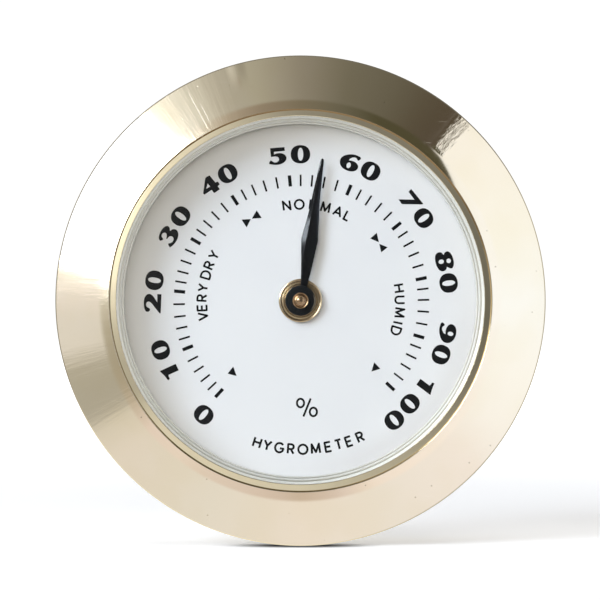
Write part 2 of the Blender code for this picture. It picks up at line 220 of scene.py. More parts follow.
def smooth_outline(points, steps=7):
    """Closed outline through (x, y) points; a third item marks a corner."""
    n = len(points)
    out = []
    for i in range(n):
        p0, p1, p2, p3 = (points[(i + k - 1) % n] for k in range(4))
        a, b = Vector(p1[:2]), Vector(p2[:2])
        chord = b - a
        corner1, corner2 = len(p1) > 2, len(p2) > 2
        if corner1 and corner2:
            out.append(tuple(a))
            continue
        t1 = chord if corner1 else (b - Vector(p0[:2])) * 0.5
        t2 = chord if corner2 else (Vector(p3[:2]) - a) * 0.5
        lim = chord.length * 1.25
        if t1.length > lim:
            t1 = t1.normalized() * lim
        if t2.length > lim:
            t2 = t2.normalized() * lim
        for k in range(steps):
            t = k / steps
            h1 = 2 * t ** 3 - 3 * t ** 2 + 1
            h2 = t ** 3 - 2 * t ** 2 + t
            h3 = -2 * t ** 3 + 3 * t ** 2
            h4 = t ** 3 - t ** 2
            p = a * h1 + t1 * h2 + b * h3 + t2 * h4
            out.append((p.x, p.y))
    return out


def ellipse(cx, cy, rx, ry, n=40, power=2.0):
    out = []
    for k in range(n):
        t = 2 * pi * k / n
        c, s = cos(t), sin(t)
        out.append((cx + rx * math.copysign(abs(c) ** (2 / power), c),
                    cy + ry * math.copysign(abs(s) ** (2 / power), s)))
    return out


# fat-face numerals, in units of one eighteenth of their height
C = "corner"
NUM = {
    "0": ([ellipse(0, 0, 9.75, 9.15, 56, 2.25)], [ellipse(0.1, 0, 2.7, 6.45, 36, 2.1)]),
    "1": ([smooth_outline([
        (-8.1, 5.5, C), (-7.2, 3.1), (-5.0, 3.2), (-3.3, 2.6, C), (-3.9, -8.7, C),
        (3.3, -8.8, C), (4.1, 8.8, C), (-2.0, 6.7)])], []),
    "2": ([smooth_outline([
        (-9.7, 4.8), (-8.9, 7.1), (-5.4, 8.6), (-0.1, 9.0), (4.5, 8.2), (7.6, 5.7),
        (8.2, 3.0), (6.3, 0.0), (2.9, -2.5), (-0.4, -4.6, C), (8.1, -4.5, C),
        (7.9, -8.7, C), (-11.2, -8.0, C), (-11.2, -6.8, C), (-4.9, -1.7), (-1.2, 1.2),
        (0.5, 3.6), (-0.1, 5.8), (-1.9, 6.6), (-4.1, 6.3), (-5.4, 4.9), (-6.4, 3.2),
        (-8.2, 2.8)])], []),
    "3": ([smooth_outline([
        (-7.8, 5.4, C), (-6.2, 7.6), (-3.3, 8.7), (1.2, 9.1), (5.9, 8.2), (8.7, 5.9),
        (8.6, 3.2), (5.5, 0.9, C), (8.1, -0.6), (9.4, -3.2), (8.8, -5.8), (6.3, -8.0),
        (2.3, -9.2), (-1.6, -9.1), (-5.3, -8.3), (-9.4, -6.4, C), (-7.9, -4.0),
        (-6.5, -3.1), (-5.2, -4.7), (-3.1, -6.1), (-0.6, -6.1), (1.2, -4.5),
        (1.4, -2.4), (-0.2, -0.7), (-3.1, 0.0, C), (-3.1, 0.9, C), (-0.6, 1.6),
        (1.5, 3.0), (1.7, 4.9), (0.1, 6.4), (-2.0, 6.5), (-3.6, 5.5), (-4.3, 4.0),
        (-5.5, 3.4), (-6.7, 4.3)])], []),
    "4": ([smooth_outline([
        (-9.7, -2.0, C), (0.6, 8.1, C), (2.4, 8.9), (6.4, 8.3, C), (6.7, -1.1, C),
        (8.6, -1.6), (9.2, -3.5), (8.5, -5.3, C), (6.2, -5.2, C), (6.0, -9.1, C),
        (-0.9, -8.6, C), (-0.9, -4.5, C), (-9.6, -3.8, C)])],
        [[(0.0, 3.1), (0.1, -0.9), (-4.6, -0.4)]]),
    "5": ([smooth_outline([
        (-5.6, 8.9, C), (8.9, 7.7, C), (8.7, 3.9, C), (-2.3, 4.6, C), (-2.6, 2.1, C),
        (0.8, 2.7), (5.3, 1.9), (8.2, -0.3), (9.1, -3.2), (7.8, -6.0), (4.5, -8.0),
        (0.0, -8.8), (-4.3, -8.2), (-9.1, -6.6, C), (-8.5, -4.9), (-7.0, -3.4),
        (-5.8, -4.0), (-4.4, -5.4), (-1.8, -6.1), (0.6, -5.1), (1.6, -3.1), (0.7, -1.2),
        (-1.3, -0.2), (-3.9, 0.0), (-6.1, 0.0, C)])], []),
    "6": ([smooth_outline([
        (9.1, 7.8), (9.4, 6.4), (8.2, 4.5), (6.9, 4.3), (5.5, 5.7), (3.4, 6.1),
        (0.9, 5.0), (-0.8, 3.2), (-1.3, 1.5, C), (2.3, 2.1), (6.3, 1.4), (9.0, -0.6),
        (9.6, -3.2), (8.2, -6.2), (4.8, -8.2), (-0.2, -8.8), (-5.0, -7.7), (-8.5, -4.9),
        (-9.8, -1.4), (-9.1, 2.3), (-6.2, 5.4), (-1.7, 7.7), (2.7, 8.7), (6.3, 8.6)])],
        [ellipse(0.0, -3.3, 2.1, 2.9, 28)]),
    "7": ([smooth_outline([
        (-8.8, 9.3, C), (10.2, 8.1, C), (10.3, 7.1, C), (-4.0, -7.9, C), (-9.9, -7.2, C),
        (1.3, 4.4, C), (-8.5, 5.4, C)])], []),
    "8": ([smooth_outline([
        (0.4, 9.0), (5.0, 8.4), (8.5, 6.4), (9.1, 3.9), (6.5, 0.8, C), (9.0, -1.1),
        (9.7, -4.0), (7.9, -7.2), (3.6, -8.8), (-0.4, -9.0), (-5.0, -8.4), (-8.8, -6.3),
        (-9.7, -2.9), (-8.6, -0.5), (-5.9, 0.8, C), (-7.9, 2.9), (-8.3, 5.4),
        (-6.5, 7.6), (-3.2, 8.7)])],
        [ellipse(1.2, 4.05, 2.35, 2.25, 26), ellipse(0.0, -3.3, 2.2, 2.7, 26)]),
}
NUM["9"] = ([[(-x, -y) for x, y in p] for p in NUM["6"][0]],
            [[(-x, -y) for x, y in p] for p in NUM["6"][1]])


# thin sans letters: strokes on a box one unit high, (width, [polyline, ...])
def arc(cx, cy, rx, ry, a0, a1, n=16):
    return [(cx + rx * cos(radians(a0 + (a1 - a0) * k / n)),
             cy + ry * sin(radians(a0 + (a1 - a0) * k / n))) for k in range(n + 1)]


SANS = {
    "A": (0.86, [[(0, 0), (0.43, 1), (0.86, 0)], [(0.15, 0.32), (0.71, 0.32)]]),
    "D": (0.78, [[(0, 0), (0, 1), (0.30, 1)] + arc(0.30, 0.5, 0.48, 0.5, 90, -90)
                 + [(0.30, 0), (0, 0)]]),
    "E": (0.60, [[(0.60, 1), (0, 1), (0, 0), (0.60, 0)], [(0, 0.52), (0.54, 0.52)]]),
    "G": (0.92, [arc(0.46, 0.5, 0.46, 0.5, 42, 330, 30) + [(0.90, 0.44), (0.52, 0.44)]]),
    "H": (0.72, [[(0, 0), (0, 1)], [(0.72, 0), (0.72, 1)], [(0, 0.52), (0.72, 0.52)]]),
    "I": (0.0, [[(0, 0), (0, 1)]]),
    "L": (0.50, [[(0, 1), (0, 0), (0.50, 0)]]),
    "M": (0.88, [[(0, 0), (0.05, 1), (0.44, 0.12), (0.83, 1), (0.88, 0)]]),
    "N": (0.74, [[(0, 0), (0, 1), (0.74, 0), (0.74, 1)]]),
    "O": (0.98, [arc(0.49, 0.5, 0.49, 0.5, 0, 360, 36)]),
    "R": (0.62, [[(0, 0), (0, 1), (0.32, 1)] + arc(0.32, 0.74, 0.28, 0.26, 90, -90, 12)
                 + [(0.32, 0.48), (0, 0.48)], [(0.30, 0.48), (0.62, 0)]]),
    "T": (0.66, [[(0.33, 0), (0.33, 1)], [(0, 1), (0.66, 1)]]),
    "U": (0.72, [[(0, 1), (0, 0.36)] + arc(0.36, 0.36, 0.36, 0.36, 180, 360) + [(0.72, 1)]]),
    "V": (0.78, [[(0, 1), (0.39, 0), (0.78, 1)]]),
    "Y": (0.74, [[(0, 1), (0.37, 0.46), (0.74, 1)], [(0.37, 0.46), (0.37, 0)]]),
    "%": (1.15, [arc(0.205, 0.755, 0.205, 0.245, 0, 360, 28),
                 arc(0.945, 0.245, 0.205, 0.245, 0, 360, 28), [(0.37, -0.02), (0.79, 1.02)]]),
}


def strokes(letter, height, w):
    """Union-ready polygons of a stroked letter, centred on its middle."""
    width, lines = SANS[letter]
    half = w / 2
    polys = []
    for line in lines:
        pts = [Vector(((x - width / 2) * height, (y - 0.5) * height)) for x, y in line]
        # strokes keep inside the letter's height
        for a, b in zip(pts, pts[1:]):
            d = b - a
            if d.length < 1e-9:
                continue
            d.normalize()
            nrm = Vector((-d.y, d.x)) * half
            polys.append([tuple(a + nrm), tuple(a - nrm), tuple(b - nrm), tuple(b + nrm)])
        closed = (pts[0] - pts[-1]).length < 1e-6
        for p in (pts if closed else pts[1:-1]):
            polys.append([(p.x + half * cos(2 * pi * (k + 0.5) / 10),
                           p.y + half * sin(2 * pi * (k + 0.5) / 10)) for k in range(10)])
    return polys


# ----------------------------------------------------------- shader building
def new_mat(name):
    mat = bpy.data.materials.new(name)
    mat.use_nodes = True
    nt = mat.node_tree
    bsdf = nt.nodes["Principled BSDF"]
    return mat, nt, bsdf


class Net:
    """Short names for the shader nodes used below."""

    def __init__(self, nt):
        self.nt = nt

    def node(self, kind, **props):
        n = self.nt.nodes.new(kind)
        for k, v in props.items():
            setattr(n, k, v)
        return n

    def link(self, a, b):
        self.nt.links.new(a, b)

    def put(self, socket, value):
        if isinstance(value, (int, float)):
            socket.default_value = value
        elif isinstance(value, (tuple, list)):
            socket.default_value = value
        else:
            self.link(value, socket)

    def math(self, op, a, b=0.0, c=0.0, clamp=False):
        n = self.node("ShaderNodeMath", operation=op, use_clamp=clamp)
        for s, v in zip(n.inputs, (a, b, c)):
            self.put(s, v)
        return n.outputs[0]

    def smooth(self, v, lo, hi, a=0.0, b=1.0, kind="SMOOTHSTEP"):
        n = self.node("ShaderNodeMapRange", interpolation_type=kind)
        for s, x in zip(("Value", "From Min", "From Max", "To Min", "To Max"),
                        (v, lo, hi, a, b)):
            self.put(n.inputs[s], x)
        return n.outputs["Result"]

    def mix(self, fac, a, b):
        n = self.node("ShaderNodeMix", data_type="RGBA")
        self.put(n.inputs["Factor"], fac)
        self.put(n.inputs["A"], a if not isinstance(a, tuple) else (*a[:3], 1.0))
        self.put(n.inputs["B"], b if not isinstance(b, tuple) else (*b[:3], 1.0))
        return n.outputs["Result"]

    def noise(self, vec, scale, detail=3.0, rough=0.5, distort=0.0):
        n = self.node("ShaderNodeTexNoise", noise_dimensions="3D")
        self.link(vec, n.inputs["Vector"])
        n.inputs["Scale"].default_value = scale
        n.inputs["Detail"].default_value = detail
        n.inputs["Roughness"].default_value = rough
        n.inputs["Distortion"].default_value = distort
        return n.outputs["Fac"]

    def ramp(self, fac, stops, interp="LINEAR"):
        n = self.node("ShaderNodeValToRGB")
        cr = n.color_ramp
        cr.interpolation = interp
        while len(cr.elements) > 1:
            cr.elements.remove(cr.elements[-1])
        for i, (p, col) in enumerate(stops):
            if isinstance(col, (int, float)):
                col = (col, col, col)
            e = cr.elements[0] if i == 0 else cr.elements.new(p)
            e.position = p
            e.color = (*col[:3], 1.0)
        self.put(n.inputs["Fac"], fac)
        return n.outputs["Color"]

    def coords(self):
        """Object position in millimetres: (vector, x, y, z, radius)."""
        tc = self.node("ShaderNodeTexCoord")
        sc = self.node("ShaderNodeVectorMath", operation="SCALE")
        self.link(tc.outputs["Object"], sc.inputs[0])
        sc.inputs["Scale"].default_value = 1000.0
        sep = self.node("ShaderNodeSeparateXYZ")
        self.link(sc.outputs[0], sep.inputs[0])
        x, y, z = sep.outputs
        r = self.math("SQRT", self.math("ADD", self.math("MULTIPLY", x, x),
                                        self.math("MULTIPLY", z, z)))
        return sc.outputs[0], x, y, z, r

    def combine(self, x, y, z):
        n = self.node("ShaderNodeCombineXYZ")
        for s, v in zip(n.inputs, (x, y, z)):
            self.put(s, v)
        return n.outputs[0]

    def bump(self, height, strength, distance, normal=None):
        n = self.node("ShaderNodeBump")
        n.inputs["Strength"].default_value = strength
        n.inputs["Distance"].default_value = distance
        self.link(height, n.inputs["Height"])
        if normal is not None:
            self.link(normal, n.inputs["Normal"])
        return n.outputs["Normal"]


def clock(net, x, z):
    """Angle clockwise from the top, -180 to 180, seen from the front."""
    return net.math("MULTIPLY", net.math("ARCTAN2", x, z), 180 / pi)


def window(net, v, lo, hi, soft):
    """1 between lo and hi, with soft edges."""
    up = net.smooth(v, lo - soft, lo + soft)
    down = net.smooth(v, hi - soft, hi + soft, 1.0, 0.0)
    return net.math("MULTIPLY", up, down)


BRASS_F0 = (0.86, 0.755, 0.52)


def flange_material():
    """Pale brass: polished, with radial brushing, scratches, pits and dents."""
    mat, nt, bsdf = new_mat("brass_flange")
    n = Net(nt)
    vec, x, y, z, r = n.coords()
    inv = n.math("DIVIDE", 1.0, n.math("MAXIMUM", r, 0.01))
    ux, uz = n.math("MULTIPLY", x, inv), n.math("MULTIPLY", z, inv)
    ang = clock(n, x, z)
    # radial streaks: fine round the circle, long along the radius
    polar = n.combine(n.math("MULTIPLY", ux, 110.0), n.math("MULTIPLY", uz, 110.0),
                      n.math("MULTIPLY", r, 0.35))
    streak = n.noise(polar, 1.0, 3.0, 0.6)
    polar2 = n.combine(n.math("MULTIPLY", ux, 26.0), n.math("MULTIPLY", uz, 26.0),
                       n.math("MULTIPLY", r, 0.10))
    streak2 = n.noise(polar2, 1.0, 2.0, 0.5)
    brushed = n.math("ADD", window(n, ang, -122.0, -84.0, 5.0),
                     n.math("MULTIPLY", window(n, ang, -36.0, -19.0, 5.0), 1.1))
    brushed = n.math("ADD", brushed, 0.05)
    # slanting hairlines
    hair_co = n.node("ShaderNodeMapping")
    n.link(vec, hair_co.inputs["Vector"])
    hair_co.inputs["Rotation"].default_value = (0.0, radians(63), 0.0)
    hair_co.inputs["Scale"].default_value = (0.10, 1.0, 5.0)
    hair = n.noise(hair_co.outputs[0], 1.4, 2.0, 0.5)
    hair = n.smooth(hair, 0.700, 0.715)
    # two long scratches along the radius at the upper left
    line1 = n.math("MULTIPLY", window(n, ang, -28.45, -28.20, 0.09), window(n, r, 17.9, 21.6, 0.5))
    line2 = n.math("MULTIPLY", window(n, ang, -27.05, -26.85, 0.09), window(n, r, 18.0, 20.3, 0.6))
    scratch = n.math("ADD", line1, line2)
    # pits and nicks
    vor = n.node("ShaderNodeTexVoronoi", feature="F1", voronoi_dimensions="3D")
    n.link(vec, vor.inputs["Vector"])
    vor.inputs["Scale"].default_value = 0.62
    vor.inputs["Randomness"].default_value = 1.0
    pit = n.smooth(vor.outputs["Distance"], 0.030, 0.065, 1.0, 0.0)
    wave = n.noise(vec, 0.20, 2.0, 0.5)
    # the crumpled edge of the dent at the upper right
    patch = n.math("MULTIPLY", window(n, ang, 40.6, 44.6, 0.9), window(n, r, 18.6, 22.35, 0.25))
    polar3 = n.combine(n.math("MULTIPLY", ux, 75.0), n.math("MULTIPLY", uz, 75.0),
                       n.math("MULTIPLY", r, 1.6))
    crumple = n.noise(polar3, 1.0, 3.0, 0.62, 0.5)

    col = n.mix(n.smooth(wave, 0.35, 0.65), (0.855, 0.752, 0.535), (0.868, 0.768, 0.562))
    col = n.mix(n.math("MULTIPLY", pit, 0.55), col, (0.50, 0.42, 0.28))
    col = n.mix(n.math("MULTIPLY", n.math("ADD", n.math("MULTIPLY", hair, 0.4), scratch), 0.22), col, (0.96, 0.92, 0.80))
    # the turned-in edge is darker brown, more so from the upper left over the top to the right
    edge_brown = n.math("ADD", 0.14, n.math("MULTIPLY", window(n, ang, -50.0, 75.0, 14.0), 0.66))
    col = n.mix(n.math("MULTIPLY", n.smooth(r, 17.475, 17.515, 1.0, 0.0), edge_brown), col,
                (0.30, 0.17, 0.06))
    # painted shade: a dark hairline just inside the outer rim, at the upper left
    rim = n.math("MULTIPLY", window(n, ang, -80.0, -40.5, 1.0), window(n, r, 22.30, 22.405, 0.02))
    col = n.mix(rim, col, (0.13, 0.125, 0.115))
    n.link(col, bsdf.inputs["Base Color"])
    bsdf.inputs["Metallic"].default_value = 1.0
    rough = n.math("ADD", 0.055, n.math("MULTIPLY", brushed, 0.05))
    rough = n.math("ADD", rough, n.math("MULTIPLY", streak, 0.03))
    rough = n.math("ADD", rough, n.math("MULTIPLY", n.math("ADD", n.math("MULTIPLY", hair, 0.3), pit), 0.10))
    rough = n.math("ADD", rough, n.math("MULTIPLY", scratch, 0.16))
    n.link(rough, bsdf.inputs["Roughness"])
    h1 = n.math("MULTIPLY", n.math("ADD", streak, n.math("MULTIPLY", streak2, 2.0)), brushed)
    nrm = n.bump(h1, 1.0, 0.0000036)
    dent = n.math("MULTIPLY", window(n, ang, -16.8, -14.4, 1.5), n.smooth(r, 19.6, 22.4))
    nrm = n.bump(dent, 1.0, 0.000055, nrm)
    nrm = n.bump(n.math("ADD", n.math("MULTIPLY", pit, -1.0), n.math("MULTIPLY", hair, -0.05)),
                 0.5, 0.000012, nrm)
    nrm = n.bump(n.math("MULTIPLY", crumple, patch), 1.0, 0.000026, nrm)
    n.link(nrm, bsdf.inputs["Normal"])
    return mat


def turned_brass(name, colour, rough=0.18, groove=9.0, depth=0.000006, spots=0.3,
                 spread=0.10):
    """Brass from the lathe: concentric tool lines, slight stains."""
    mat, nt, bsdf = new_mat(name)
    n = Net(nt)
    vec, x, y, z, r = n.coords()
    rings = n.noise(n.combine(n.math("MULTIPLY", r, groove), n.math("MULTIPLY", y, groove), 0.0),
                    1.0, 3.0, 0.6)
    stain = n.noise(vec, 0.8, 4.0, 0.6)
    dark = tuple(c * 0.72 for c in colour)
    n.link(n.mix(n.math("MULTIPLY", n.smooth(stain, 0.45, 0.75), spots), colour, dark),
           bsdf.inputs["Base Color"])
    bsdf.inputs["Metallic"].default_value = 1.0
    n.link(n.math("ADD", rough, n.math("MULTIPLY", rings, spread)), bsdf.inputs["Roughness"])
    n.link(n.bump(rings, 0.5, depth), bsdf.inputs["Normal"])
    return mat


def dial_material():
    mat, nt, bsdf = new_mat("dial_enamel")
    n = Net(nt)
    vec, x, y, z, r = n.coords()
    cloud = n.noise(vec, 0.16, 3.0, 0.5)
    fine = n.noise(vec, 14.0, 2.0, 0.5)
    col = n.mix(n.smooth(cloud, 0.3, 0.7), (0.790, 0.812, 0.856), (0.813, 0.834, 0.874))
    vor = n.node("ShaderNodeTexVoronoi", feature="F1", voronoi_dimensions="3D")
    n.link(vec, vor.inputs["Vector"])
    vor.inputs["Scale"].default_value = 0.34
    speck = n.smooth(vor.outputs["Distance"], 0.010, 0.022, 1.0, 0.0)
    col = n.mix(n.math("MULTIPLY", speck, 0.5), col, (0.32, 0.33, 0.34))
    # painted shade: the dial is darker towards its edge at the lower right, where the rings shade it
    rim = n.math("MULTIPLY", window(n, clock(n, x, z), 95.0, 170.0, 16.0), n.smooth(r, 13.6, 15.8))
    col = n.mix(n.math("MULTIPLY", rim, 0.55), col, (0.66, 0.665, 0.70))
    n.link(col, bsdf.inputs["Base Color"])
    n.link(n.math("ADD", 0.42, n.math("MULTIPLY", fine, 0.12)), bsdf.inputs["Roughness"])
    bsdf.inputs["Specular IOR Level"].default_value = 0.20
    n.link(n.bump(fine, 0.15, 0.000003), bsdf.inputs["Normal"])
    return mat


def ink_material():
    mat, nt, bsdf = new_mat("dial_ink")
    n = Net(nt)
    vec, x, y, z, r = n.coords()
    grain = n.noise(vec, 9.0, 3.0, 0.6)
    n.link(n.mix(grain, (0.0045, 0.005, 0.006), (0.0085, 0.009, 0.010)),
           bsdf.inputs["Base Color"])
    n.link(n.math("ADD", 0.45, n.math("MULTIPLY", grain, 0.2)), bsdf.inputs["Roughness"])
    bsdf.inputs["Specular IOR Level"].default_value = 0.06
    return mat


def lacquer_material():
    """Black lacquered pointer with faint draw lines along its length."""
    mat, nt, bsdf = new_mat("pointer_lacquer")
    n = Net(nt)
    vec, x, y, z, r = n.coords()
    # across and along the pointer at rest
    u = n.math("SUBTRACT", n.math("MULTIPLY", x, cos(REST)), n.math("MULTIPLY", z, sin(REST)))
    v = n.math("ADD", n.math("MULTIPLY", x, sin(REST)), n.math("MULTIPLY", z, cos(REST)))
    draw = n.noise(n.combine(n.math("MULTIPLY", u, 7.0), n.math("MULTIPLY", v, 1.6), 0.0),
                   1.0, 3.0, 0.6)
    n.link(n.mix(draw, (0.004, 0.0045, 0.0055), (0.008, 0.0085, 0.010)),
           bsdf.inputs["Base Color"])
    n.link(n.math("ADD", 0.08, n.math("MULTIPLY", draw, 0.10)), bsdf.inputs["Roughness"])
    bsdf.inputs["Specular IOR Level"].default_value = 0.42
    n.link(n.bump(draw, 0.5, 0.0000035), bsdf.inputs["Normal"])
    return mat


def rough_black(name, base, rough, scale, depth, fleck=0.0, spec=0.5, painted_arc=None):
    """Black sintered, moulded or rubber surface with grain of its own."""
    mat, nt, bsdf = new_mat(name)
    n = Net(nt)
    vec, x, y, z, r = n.coords()
    grain = n.noise(vec, scale, 4.0, 0.65)
    light = tuple(min(1.0, c * 2.2 + fleck) for c in base)
    col = n.mix(n.smooth(grain, 0.42, 0.74), base, light)
    if painted_arc:                             # painted highlight: a light arc along part of the rim
        at, lo, hi = painted_arc
        arc_highlight = n.math("MULTIPLY", window(n, r, at - 0.03, at + 0.03, 0.02),
                     window(n, clock(n, x, z), lo, hi, 14.0))
        col = n.mix(n.math("MULTIPLY", arc_highlight, 0.8), col, (0.30, 0.25, 0.18))
    n.link(col, bsdf.inputs["Base Color"])
    n.link(n.smooth(grain, 0.2, 0.8, rough - 0.12, rough + 0.12, "LINEAR"),
           bsdf.inputs["Roughness"])
    bsdf.inputs["Specular IOR Level"].default_value = spec
    n.link(n.bump(grain, 0.6, depth), bsdf.inputs["Normal"])
    return mat


def white_plastic():
    """White plastic with painted shade in its two grooves and a painted glow that changes round the ring."""
    mat, nt, bsdf = new_mat("spacer_white")
    n = Net(nt)
    vec, x, y, z, r0 = n.coords()
    dx, dz = n.math("SUBTRACT", x, RING_X), n.math("SUBTRACT", z, RING_Z)
    r = n.math("SQRT", n.math("ADD", n.math("MULTIPLY", dx, dx), n.math("MULTIPLY", dz, dz)))
    soft = n.noise(vec, 1.2, 3.0, 0.5)
    # painted shade: the two grooves are darkened, in colour and in glow
    groove_shade = n.math("ADD", window(n, r, 16.655, 16.715, 0.012), window(n, r, 16.365, 16.425, 0.012))
    col = n.mix(soft, (0.50, 0.51, 0.495), (0.54, 0.55, 0.53))
    col = n.mix(n.math("MULTIPLY", groove_shade, 0.60), col, (0.20, 0.19, 0.165))
    n.link(col, bsdf.inputs["Base Color"])
    # painted light: the ring glows by clock angle, most at the lower right and the left, and more on its outer part
    turn_at = n.math("DIVIDE", n.math("ADD", clock(n, x, z), 180.0), 360.0)
    painted_glow = n.ramp(turn_at, [((d + 180.0) / 360.0, v) for d, v in (
        (-180, 0.10), (-160, 0.16), (-140, 0.25), (-120, 0.39), (-90, 0.445), (-30, 0.455),
        (0, 0.38), (30, 0.36), (60, 0.30), (90, 0.42), (120, 0.54), (150, 0.36), (180, 0.10))])
    painted_glow = n.math("MULTIPLY", painted_glow, n.smooth(r, 16.62, 16.76, 0.70, 1.0))
    n.link(n.mix(n.math("MULTIPLY", groove_shade, 0.60), (0.97, 0.95, 0.88), (0.45, 0.42, 0.34)),
           bsdf.inputs["Emission Color"])
    n.link(painted_glow, bsdf.inputs["Emission Strength"])
    n.link(n.math("ADD", 0.28, n.math("MULTIPLY", soft, 0.14)), bsdf.inputs["Roughness"])
    return mat


def steel_material():
    mat, nt, bsdf = new_mat("turned_steel")
    n = Net(nt)
    vec, x, y, z, r = n.coords()
    lines = n.noise(n.combine(n.math("MULTIPLY", x, 14.0), y, n.math("MULTIPLY", z, 2.0)),
                    1.0, 3.0, 0.6)
    n.link(n.mix(lines, (0.52, 0.52, 0.51), (0.66, 0.66, 0.64)), bsdf.inputs["Base Color"])
    bsdf.inputs["Metallic"].default_value = 1.0
    n.link(n.math("ADD", 0.22, n.math("MULTIPLY", lines, 0.18)), bsdf.inputs["Roughness"])
    n.link(n.bump(lines, 0.4, 0.000004), bsdf.inputs["Normal"])
    return mat


def coil_material():
    """Metal strip with a brown moisture film, wound into the coil."""
    mat, nt, bsdf = new_mat("coil_laminate")
    n = Net(nt)
    vec, x, y, z, r = n.coords()
    film = n.noise(n.combine(x, n.math("MULTIPLY", y, 6.0), z), 0.9, 4.0, 0.6)
    n.link(n.mix(film, (0.36, 0.24, 0.13), (0.62, 0.48, 0.30)), bsdf.inputs["Base Color"])
    bsdf.inputs["Metallic"].default_value = 0.55
    n.link(n.math("ADD", 0.32, n.math("MULTIPLY", film, 0.25)), bsdf.inputs["Roughness"])
    n.link(n.bump(film, 0.4, 0.000008), bsdf.inputs["Normal"])
    return mat


def glass_material():
    """Clear flat glass: see-through with a Fresnel reflection."""
    mat, nt, bsdf = new_mat("lens_clear")
    n = Net(nt)
    nt.nodes.remove(bsdf)
    out = nt.nodes["Material Output"]
    clear = n.node("ShaderNodeBsdfTransparent")
    clear.inputs["Color"].default_value = (0.985, 0.992, 0.990, 1.0)
    gloss = n.node("ShaderNodeBsdfGlossy")
    gloss.inputs["Roughness"].default_value = 0.02
    facing = n.node("ShaderNodeLayerWeight")
    facing.inputs["Blend"].default_value = 0.5
    f5 = n.math("POWER", facing.outputs["Facing"], 5.0)
    fresnel = n.math("ADD", 0.022, n.math("MULTIPLY", f5, 0.6))
    vec, x, y, z, r = n.coords()
    smear = n.noise(vec, 0.35, 3.0, 0.5)
    n.link(n.smooth(smear, 0.2, 0.8, 0.012, 0.035, "LINEAR"), gloss.inputs["Roughness"])
    mix = n.node("ShaderNodeMixShader")
    n.link(fresnel, mix.inputs[0])
    n.link(clear.outputs[0], mix.inputs[1])
    n.link(gloss.outputs[0], mix.inputs[2])
    n.link(mix.outputs[0], out.inputs["Surface"])
    return mat


M_FLANGE = flange_material()
M_LIP = turned_brass("brass_lip", (0.86, 0.755, 0.525), 0.05, 22.0, 0.0000008, 0.12, 0.04)
M_BARREL = turned_brass("brass_barrel", (0.80, 0.70, 0.48), 0.24, 7.0, 0.00001, 0.5)
M_BRIGHT = turned_brass("brass_turned", (0.80, 0.62, 0.36), 0.16, 12.0, 0.00001, 0.5)
M_EYELET = turned_brass("brass_eyelet", (0.64, 0.50, 0.315), 0.17, 9.0, 0.000008, 0.5, 0.06)
M_HEAD = turned_brass("brass_head", (0.44, 0.29, 0.165), 0.13, 14.0, 0.00002, 0.9, 0.12)
M_DIAL = dial_material()
M_INK = ink_material()
M_LACQUER = lacquer_material()
M_BOSS = rough_black("boss_black", (0.003, 0.004, 0.005), 0.34, 9.0, 0.000030, 0.012, 0.16,
                     (1.30, 70.0, 125.0))
M_PLASTIC = rough_black("moulded_black", (0.020, 0.020, 0.022), 0.48, 5.0, 0.00002)
M_RUBBER = rough_black("ring_rubber", (0.024, 0.024, 0.025), 0.74, 7.0, 0.00003)
M_WHITE = white_plastic()
M_STEEL = steel_material()
M_COIL = coil_material()
M_GLASS = glass_material()

# ------------------------------------------------------------------ the flange
SEG = 288
edge = FACE_R
cone_out, cone_out_y = edge - 0.10, -0.487
slope_cone, slope_roll = radians(23.8), radians(19.4)
r1, r3 = 18.56, 17.515
y1 = cone_out_y - (cone_out - r1) * math.tan(slope_cone)
profile = fillet([
    (edge - 0.10, 0.0, 0.0),
    (edge, -0.10, 0.05),
    (edge, -0.392, 0.03),
    (cone_out, cone_out_y, 0.02),
    (r1, y1, 0.0)], 8)[:-1]
# the cone eases to a flatter crest, then turns in to the lip
pr, py = r1, y1
profile.append((pr, py))
EASE = 16
for k in range(EASE):
    t = (k + 0.5) / EASE
    a = slope_cone * (1 - t) + slope_roll * t
    pr -= (r1 - r3) / EASE
    py -= (r1 - r3) / EASE * math.tan(a)
    profile.append((pr, py))
turn_r = 0.055
for k in range(1, 17):
    mid = slope_roll + (radians(-88) - slope_roll) * (k - 0.5) / 16
    step = turn_r * radians(88 + 19.4) / 16
    pr -= step * cos(mid)
    py -= step * sin(mid)
    profile.append((pr, py))
profile += [(pr - 0.002, -2.12), (18.10, -2.06), (18.60, -1.95), (18.60, 0.0)]
add("flange_face", revolve(profile, SEG), M_FLANGE, "case", ["bezel"], 10)

# ------------------------------------------------- lip, glass, spacer and dial
LX, LZ = -0.01, 0.04         # the glass and its rings sit a little off centre
lip = fillet([
    (17.45, LIP_Y0 + 0.115, 0.02), (17.45, LENS_Y0 - 0.9, 0.0), (17.49, LENS_Y0 - 0.88, 0.0),
    (17.49, LIP_Y1, 0.0), (16.84, LIP_Y1, 0.0), (16.815, LIP_Y1 - 0.06, 0.0),
    (16.815, LIP_Y0 + 0.035, 0.015), (16.85, LIP_Y0 + 0.002, 0.02)], 5)
add("glass_retainer", revolve(lip, SEG, cx=LX, cz=LZ), M_LIP, "case",
    ["lens_retainer"], 30)

glass = fillet([(STACK_R - 0.05, LENS_Y0, 0.0), (STACK_R - 0.05, LENS_Y1, 0.0)], 0)
add("glass_disc", revolve([
    (0, LENS_Y0), (STACK_R - 0.55, LENS_Y0), (STACK_R - 0.10, LENS_Y0 + 0.12),
    (STACK_R - 0.05, LENS_Y0 + 0.20), (STACK_R - 0.05, LENS_Y1 - 0.12),
    (STACK_R - 0.15, LENS_Y1), (0, LENS_Y1)], 192, closed=False, cx=LX, cz=LZ),
    M_GLASS, "case", ["lens"], 20)

